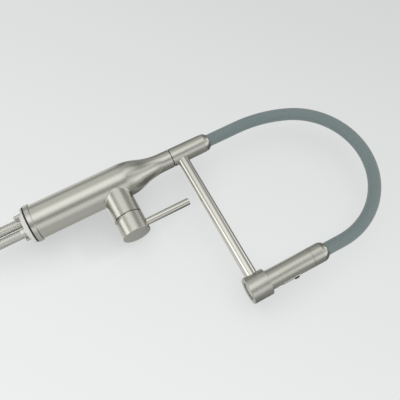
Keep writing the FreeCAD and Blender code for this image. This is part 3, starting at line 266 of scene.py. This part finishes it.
def supply_route(side):
    """The route's points in metres, on the cold side (1) or the hot side (-1)."""
    return [Vector((side * x, side * y, z)) / 1000 for x, y, z in SUPPLY_ROUTE]


def route_curve(name, points, radius):
    """One open NURBS spline that has a cord's route as its control points."""
    curve = bpy.data.curves.new(name, "CURVE")
    curve.dimensions = "3D"
    spline = curve.splines.new("NURBS")
    spline.points.add(len(points) - 1)
    for point, place in zip(spline.points, points):
        point.co = (*place, 1)
    spline.order_u = 3
    spline.use_endpoint_u = True
    curve.resolution_u = 24
    curve.bevel_depth = radius
    curve.bevel_resolution = 6
    cord = bpy.data.objects.new(name, curve)
    bpy.context.scene.collection.objects.link(cord)
    return cord


def centreline(points):
    """Points along the route's spline, read from the spline itself."""
    bare = route_curve("bare_line", points, 0)
    bpy.context.view_layer.update()
    mesh = bpy.data.meshes.new_from_object(bare)
    line = [v.co.copy() for v in mesh.vertices]
    bpy.data.objects.remove(bare)
    bpy.data.meshes.remove(mesh)
    return line


def spaced(line, step):
    """The line again with its points evenly apart, and the direction at each."""
    lengths = [0]
    for a, b in zip(line, line[1:]):
        lengths.append(lengths[-1] + (b - a).length)
    count = round(lengths[-1] / step)
    places, k = [], 0
    for i in range(count + 1):
        s = lengths[-1] * i / count
        while k < len(line) - 2 and lengths[k + 1] < s:
            k += 1
        share = (s - lengths[k]) / (lengths[k + 1] - lengths[k])
        places.append(line[k].lerp(line[k + 1], share))
    ways = [(places[min(i + 1, count)] - places[max(i - 1, 0)]).normalized()
            for i in range(count + 1)]
    return places, ways


def braid(name, line):
    """Flat bands of stainless wire woven over and under each other round the hose, at 45 degrees.
    They are laid point by point along its line, with three corners across each band: an edge,
    its middle and the other edge."""
    places, ways = spaced(line, BRAID_STEP)
    radius = SUPPLY_RADIUS - WEAVE_DEPTH
    turn = 1 / radius  # of a band, for each metre of hose
    across = ((-BAND_WIDTH / 2, 0), (0, BAND_CROWN), (BAND_WIDTH / 2, 0))
    corners, faces = [], []
    for sense in (1, -1):  # right-handed bands, then left-handed ones
        for band in range(BRAID_BANDS):
            side = Vector((1, 0, 0))
            start = len(corners)
            for i, (place, way) in enumerate(zip(places, ways)):
                side = (side - way * side.dot(way)).normalized()
                other = way.cross(side)
                turned = turn * i * BRAID_STEP
                angle = 2 * math.pi * band / BRAID_BANDS + sense * turned
                out = side * math.cos(angle) + other * math.sin(angle)
                round_way = other * math.cos(angle) - side * math.sin(angle)
                width_way = (round_way - sense * way).normalized()
                over = BAND_LIFT * sense * math.cos(BRAID_BANDS * turned)
                for offset, crown in across:
                    corners.append(place + out * (radius + over + crown) + width_way * offset)
                if i:
                    a = start + 3 * i
                    for j in (0, 1):
                        quad = (a - 3 + j, a - 2 + j, a + 1 + j, a + j)
                        faces.append(quad if sense > 0 else quad[::-1])
    mesh = bpy.data.meshes.new(name)
    mesh.from_pydata(corners, [], faces)
    mesh.shade_smooth()
    mesh.materials.append(wire)
    weave = bpy.data.objects.new(name, mesh)
    bpy.context.scene.collection.objects.link(weave)
    return weave


for side, label in ((1, "cold"), (-1, "hot")):
    points = supply_route(side)
    hose = route_curve(f"{label}_supply_hose", points, SUPPLY_RADIUS - BRAID_DEPTH)
    hose.data.materials.append(tube_grey)
    weave = braid(f"{label}_supply_braid", centreline(points))
    for piece in (hose, weave):
        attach(piece, "root")
    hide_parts(f"supply_hose_{label}")


# Spout hose

HOSE_RADIUS = 0.009
HOSE_SIDES = 56
HOSE_START = 0.2662  # heights: in the turning collar,
HOSE_RISE = 0.326  # where the straight rise ends,
HOSE_END = 0.3245  # and in the spray head's end cap
ENTRY_ARC = 0.2  # radii of the two arcs between them
CROWN_ARC = 0.106
RISE_STEPS, ENTRY_STEPS, CROWN_STEPS, FALL_STEPS = 10, 10, 60, 16


def deselect():
    bpy.ops.object.select_all(action="DESELECT")


def draw_out(height, steps):
    """Extrudes the selected end straight up, or down where height is negative."""
    for _ in range(steps):
        bpy.ops.mesh.extrude_region_move(
            TRANSFORM_OT_translate={"value": (0, 0, height / steps)})


def spout_hose():
    """The silicone hose: a rise, an easy entry arc, a round crown and a straight fall to the spray
    head."""
    lean = math.acos((ENTRY_ARC + CROWN_ARC - REACH) / (ENTRY_ARC - CROWN_ARC))
    join = Vector((ENTRY_ARC - ENTRY_ARC * math.cos(lean), 0,
                   HOSE_RISE + ENTRY_ARC * math.sin(lean)))
    centre = join + CROWN_ARC * Vector((math.cos(lean), 0, -math.sin(lean)))
    deselect()
    bpy.ops.mesh.primitive_circle_add(vertices=HOSE_SIDES, radius=HOSE_RADIUS, fill_type="NGON",
                                      location=(0, 0, HOSE_START))
    hose = bpy.context.object
    hose.name = hose.data.name = "spout_sleeve"
    bpy.ops.object.transform_apply(location=True, rotation=True, scale=True)
    bpy.ops.object.mode_set(mode="EDIT")
    bpy.ops.mesh.select_all(action="SELECT")
    draw_out(HOSE_RISE - HOSE_START, RISE_STEPS)
    bpy.ops.mesh.spin(steps=ENTRY_STEPS, angle=lean, center=(ENTRY_ARC, 0, HOSE_RISE),
                      axis=(0, -1, 0))
    bpy.ops.mesh.spin(steps=CROWN_STEPS, angle=math.pi - lean, center=centre, axis=(0, -1, 0))
    draw_out(HOSE_END - centre.z, FALL_STEPS)
    bpy.ops.mesh.select_all(action="SELECT")
    bpy.ops.mesh.normals_make_consistent(inside=False)
    bpy.ops.object.mode_set(mode="OBJECT")
    bpy.ops.object.shade_smooth_by_angle(angle=math.radians(40))
    hose.data.materials.append(silicone_grey)
    return hose


sleeve = spout_hose()
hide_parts("spout_hose", "inner_hose")
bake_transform(sleeve)


# Floor, lamps and world

FLOOR_MIDDLE, FLOOR_SIZE = (0, 0.034, 0.2), 6
# The floor's shadow and its fall-off of light are painted into what the camera sees of it.
FLOOR_LIGHT = {"X": -0.45, "Y": -0.8, "Z": 0.35}  # where most of its light comes from
SHADE_REACH = 0.07  # how near it a part keeps light off it
SHADE_WHOLE, SHADE_NONE = 0.3, 0.86  # the shares of open air between which the shade fades,
SHADE_TONE = 0.68  # from this tone to 1
PAINTED_FALLOFF_WAY = (0.607, 0, -0.795)  # the way in which the painted light on the floor grows brighter,
PAINTED_FALLOFF_FROM, PAINTED_FALLOFF_TO = -0.62, 0.31  # between these places along it,
PAINTED_FALLOFF_LEVEL = 0.755  # from this level of painted light to 1


def stage():
    """The plain floor, in pale matt paint. The view shows the tap lying down, so the floor stands
    upright behind it. It throws light back as a solid floor does, but the camera looks through
    it at the pale room, with a painted shadow where the tap keeps light off it and a painted
    fall-off of light across it, so that a spout turned past the floor isn't cut off."""
    deselect()
    bpy.ops.mesh.primitive_plane_add(size=FLOOR_SIZE, location=FLOOR_MIDDLE,
                                     rotation=(math.pi / 2, 0, 0))
    floor = bpy.context.object
    floor.name = "floor"
    paint, shader = finish_of("floor_paint", Roughness=0.6, Base_Color=linear("#E6E8E7"))
    rays = add(paint, "ShaderNodeLightPath", {}).outputs
    surface = add(paint, "ShaderNodeNewGeometry", {}).outputs

    # solid in front, and clear from behind and to whatever mirrors the room
    passes = add(paint, "ShaderNodeMath", {0: surface["Backfacing"], 1: rays["Is Glossy Ray"]},
                 operation="MAXIMUM")
    clear = add(paint, "ShaderNodeBsdfTransparent", {})
    solid = add(paint, "ShaderNodeMixShader", {
        0: passes.outputs["Value"], 1: shader.outputs["BSDF"], 2: clear.outputs["BSDF"]})

    # what the camera sees: the room through the floor, dimmed by a painted shadow from the tap
    #     and by a painted fall-off of light across the floor
    # painted shadow: shade from ambient occlusion, leaning towards the light, tints the floor
    towards_light = add(paint, "ShaderNodeCombineXYZ", FLOOR_LIGHT)
    open_air = add(paint, "ShaderNodeAmbientOcclusion", {
        "Distance": SHADE_REACH, "Normal": towards_light.outputs["Vector"]}, samples=12)
    shade = add(paint, "ShaderNodeMapRange", {
        "Value": open_air.outputs["AO"], "From Min": SHADE_WHOLE, "From Max": SHADE_NONE,
        "To Min": SHADE_TONE, "To Max": 1.0})
    # painted light: the floor grows brighter along one way across it
    along = add(paint, "ShaderNodeVectorMath", {0: surface["Position"], 1: PAINTED_FALLOFF_WAY},
                operation="DOT_PRODUCT")
    painted_falloff = add(paint, "ShaderNodeMapRange", {
        "Value": along.outputs["Value"], "From Min": PAINTED_FALLOFF_FROM, "From Max": PAINTED_FALLOFF_TO,
        "To Min": PAINTED_FALLOFF_LEVEL, "To Max": 1.0})
    painted_shade_and_falloff = add(paint, "ShaderNodeMath", {0: shade.outputs["Result"], 1: painted_falloff.outputs["Result"]},
               operation="MULTIPLY")
    shaded = add(paint, "ShaderNodeBsdfTransparent", {"Color": painted_shade_and_falloff.outputs["Value"]})
    seen = add(paint, "ShaderNodeMath", {0: rays["Is Camera Ray"], 1: surface["Backfacing"]},
               operation="SUBTRACT", use_clamp=True)
    both = add(paint, "ShaderNodeMixShader", {
        0: seen.outputs["Value"], 1: solid.outputs["Shader"], 2: shaded.outputs["BSDF"]})
    link(paint, both.outputs["Shader"], paint.node_tree.nodes["Material Output"], "Surface")
    floor.data.materials.append(paint)


def lamp(name, place, target, size, power):
    """A square white lamp. It lights the silicone, the plastics and the floor; the metal mirrors
    the world alone."""
    light = bpy.data.lights.new(name, "AREA")
    light.size = size
    light.energy = power
    holder = bpy.data.objects.new(name, light)
    bpy.context.scene.collection.objects.link(holder)
    holder.location = place
    holder.rotation_mode = "QUATERNION"
    holder.rotation_quaternion = (Vector(target) - Vector(place)).to_track_quat("-Z", "Y")
    holder.visible_camera = False
    holder.visible_glossy = False


# How bright the room is round the tap, by the compass direction in degrees. 0 is +X, the lever's
# side, 90 is behind the floor, and -90 is in front of it.
ROUND = [(-180, 0.42), (-164, 0.42), (-152, 0.74), (-136, 0.68), (-122, 0.7), (-110, 1.12),
         (-100, 1.27), (-86, 1.25), (-76, 0.93), (-66, 0.46), (-58, 0.36), (-50, 0.38),
         (-42, 0.75), (-34, 0.95), (-22, 0.88), (-8, 0.66), (2, 0.48), (12, 0.4), (24, 0.42),
         (62, 0.36), (92, 0.3), (100, 0.48), (108, 0.74), (122, 0.8), (134, 0.6), (144, 0.33),
         (154, 0.6), (162, 0.7), (170, 0.4), (180, 0.32)]
# The same higher up in the room, except at the left, which is the front on the side away from
# the lever.
HIGH_ROUND = [(-180, 0.4), (-100, 0.85), (-88, 0.98), (-79, 0.8), (-68, 0.58), (-54, 0.8),
              (-40, 1.15), (-28, 1.2), (-18, 0.85), (-7, 0.5), (8, 0.3), (24, 0.36), (62, 0.34),
              (92, 0.3), (100, 0.5), (122, 0.9), (144, 0.4), (162, 0.6), (180, 0.4)]
# What the room at the left is multiplied by, from straight down, -1, to straight up, 1.
LEFT_HEIGHTS = [(-1, 1), (-0.94, 1.4), (-0.86, 2.15), (-0.76, 2.05), (-0.66, 0.85), (-0.56, 0.58),
                (-0.36, 0.8), (-0.2, 1.06), (0.05, 1.05), (0.16, 0.95), (0.21, 0.82),
                (0.27, 0.84), (0.3, 0.76), (0.44, 0.6), (0.6, 0.32), (0.8, 0.3), (0.88, 0.7),
                (0.93, 1.25), (1, 1.6)]
# What the room behind the floor is multiplied by.
BACK_HEIGHTS = [(-1, 1.3), (-0.85, 1.25), (-0.6, 0.8), (-0.35, 1.4), (0.05, 1.45), (0.13, 0.5),
                (0.225, 0.65), (0.255, 1.85), (0.3, 1.85), (0.33, 0.7), (0.45, 0.45),
                (0.6, 0.45), (1, 0.4)]
ROOM_BLUE = 0.99  # the room is a touch warm

# The directions at which a part of the room starts and is whole: by the compass, by how far a
# direction points backwards, and by how far it points up.
LEFT_FROM, LEFT_TO = math.radians(-85), math.radians(-105)
BACK_FROM, BACK_TO = 0.0, 0.15
HIGH_FROM, HIGH_TO = 0.3, 0.38
# As it goes up, the pattern round the tap also turns, by a share of a full turn, and its contrast
# grows, by a gamma.
TURN_FROM, TURN_TO, TURN = 0.18, 0.28, 22 / 360
CONTRAST_FROM, CONTRAST_TO, CONTRAST = 0.1, 0.2, 1.35


def stops_of(levels):
    """Levels as the stops of a colour ramp that runs from their first place to their last."""
    first, last = levels[0][0], levels[-1][0]
    return [((place - first) / (last - first), (level, level, level * ROOM_BLUE, 1))
            for place, level in levels]


def surroundings():
    """A pale room for the metal to mirror, whose brightness changes with the compass direction
    round the tap and with the height. The camera sees it as one even tone."""
    world = bpy.data.worlds.new("room")
    world.use_nodes = True
    bpy.context.scene.world = world
    background = world.node_tree.nodes["Background"]
    way = add(world, "ShaderNodeTexCoord", {}).outputs["Generated"]
    parts = add(world, "ShaderNodeSeparateXYZ", {"Vector": way}).outputs
    compass = add(world, "ShaderNodeMath", {0: parts["Y"], 1: parts["X"]},
                  operation="ARCTAN2").outputs["Value"]
    share = add(world, "ShaderNodeMapRange", {
        "Value": compass, "From Min": -math.pi, "From Max": math.pi}).outputs["Result"]
    upward = add(world, "ShaderNodeMapRange", {
        "Value": parts["Z"], "From Min": -1, "From Max": 1}).outputs["Result"]

    # round the tap
    turn = add(world, "ShaderNodeMapRange", {
        "Value": parts["Z"], "From Min": TURN_FROM, "From Max": TURN_TO, "To Max": TURN},
        interpolation_type="SMOOTHSTEP")
    turned = add(world, "ShaderNodeMath", {0: share, 1: turn.outputs["Result"]})
    near = add(world, "ShaderNodeValToRGB", {"Fac": turned.outputs["Value"]},
               stops=stops_of(ROUND))
    contrast = add(world, "ShaderNodeMapRange", {
        "Value": parts["Z"], "From Min": CONTRAST_FROM, "From Max": CONTRAST_TO,
        "To Min": 1.0, "To Max": CONTRAST})
    ring = add(world, "ShaderNodeGamma", {
        "Color": near.outputs["Color"], "Gamma": contrast.outputs["Result"]})

    # higher up, except at the left
    left = add(world, "ShaderNodeMapRange", {
        "Value": compass, "From Min": LEFT_FROM, "From Max": LEFT_TO},
        interpolation_type="SMOOTHSTEP").outputs["Result"]
    not_left = add(world, "ShaderNodeMath", {0: 1.0, 1: left}, operation="SUBTRACT")
    higher = add(world, "ShaderNodeMapRange", {
        "Value": parts["Z"], "From Min": HIGH_FROM, "From Max": HIGH_TO},
        interpolation_type="SMOOTHSTEP")
    rise = add(world, "ShaderNodeMath", {
        0: higher.outputs["Result"], 1: not_left.outputs["Value"]}, operation="MULTIPLY")
    high = add(world, "ShaderNodeValToRGB", {"Fac": share}, stops=stops_of(HIGH_ROUND))
    light = add(world, "ShaderNodeMix", {
        0: rise.outputs["Value"], 6: ring.outputs["Color"], 7: high.outputs["Color"]},
        data_type="RGBA")

    # at the left, and then behind the floor
    behind = add(world, "ShaderNodeMapRange", {
        "Value": parts["Y"], "From Min": BACK_FROM, "From Max": BACK_TO}).outputs["Result"]
    for where, heights in ((left, LEFT_HEIGHTS), (behind, BACK_HEIGHTS)):
        layers = add(world, "ShaderNodeValToRGB", {"Fac": upward}, stops=stops_of(heights))
        light = add(world, "ShaderNodeMix", {
            0: where, 6: light.outputs[2], 7: layers.outputs["Color"]},
            data_type="RGBA", blend_type="MULTIPLY")

    rays = add(world, "ShaderNodeLightPath", {})
    seen = add(world, "ShaderNodeMix", {
        0: rays.outputs["Is Camera Ray"], 6: light.outputs[2], 7: linear("#F1F3F2")},
        data_type="RGBA")
    link(world, seen.outputs[2], background, "Color")
    background.inputs["Strength"].default_value = 1.0


stage()
lamp("key", place=(-0.55, -1.1, 0.5), target=(0.1, 0, 0.2), size=0.9, power=1.5)
lamp("fill", place=(0.8, -1.0, -0.15), target=(0.12, 0, 0.1), size=1.3, power=5.5)
surroundings()
